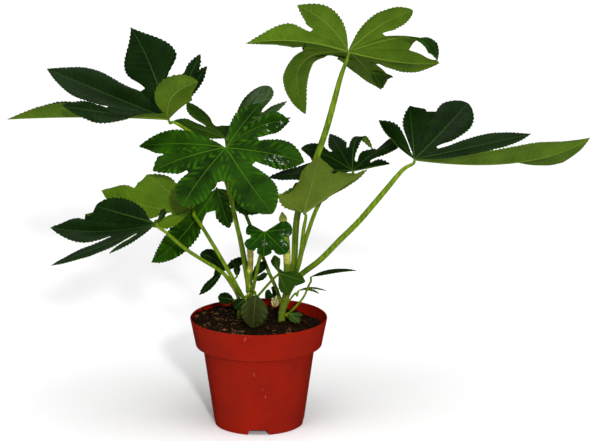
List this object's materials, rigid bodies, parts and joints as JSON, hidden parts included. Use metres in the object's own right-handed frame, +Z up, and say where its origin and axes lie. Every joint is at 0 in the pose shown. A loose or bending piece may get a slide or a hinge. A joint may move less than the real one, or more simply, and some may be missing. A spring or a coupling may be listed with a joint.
{
  "type": "potted fatsia japonica",
  "caption": "Fatsia japonica houseplant with large glossy palmate leaves on long stalks, standing in soil in a plain reddish plastic nursery pot.",
  "frame": {"origin": "centre of the pot's underside, on the surface that the pot stands on", "axes": "+Z up along the pot's axis; the pictured side faces -Y, and +X is to the right in the picture"},
  "size_m": [0.6171, 0.2054, 0.4679],
  "materials": {
    "pot": "satin",
    "soil": "matte",
    "stem": "satin",
    "leaf": "gloss"
  },
  "bodies": {
    "root": {"pot": "pot", "soil": "soil", "stem_left": "stem", "stem_seedling": "stem", "stem_right": "stem", "leaf_centre": "leaf", "leaf_left_high": "leaf", "leaf_right": "leaf", "leaf_top": "leaf", "leaf_pale_right": "leaf", "leaf_left_low": "leaf", "leaf_pale_left": "leaf", "leaf_shaded": "leaf", "leaf_back": "leaf", "leaf_back_right": "leaf", "leaf_small_left": "leaf", "leaf_small_middle": "leaf", "leaf_small_dark": "leaf", "leaf_small_round": "leaf", "leaf_small_low": "leaf", "leaf_small_front": "leaf", "leaf_small_right": "leaf", "leaf_small_strip": "leaf", "leaf_small_soil": "leaf", "leaf_young": "leaf"}
  },
  "joints": []
}
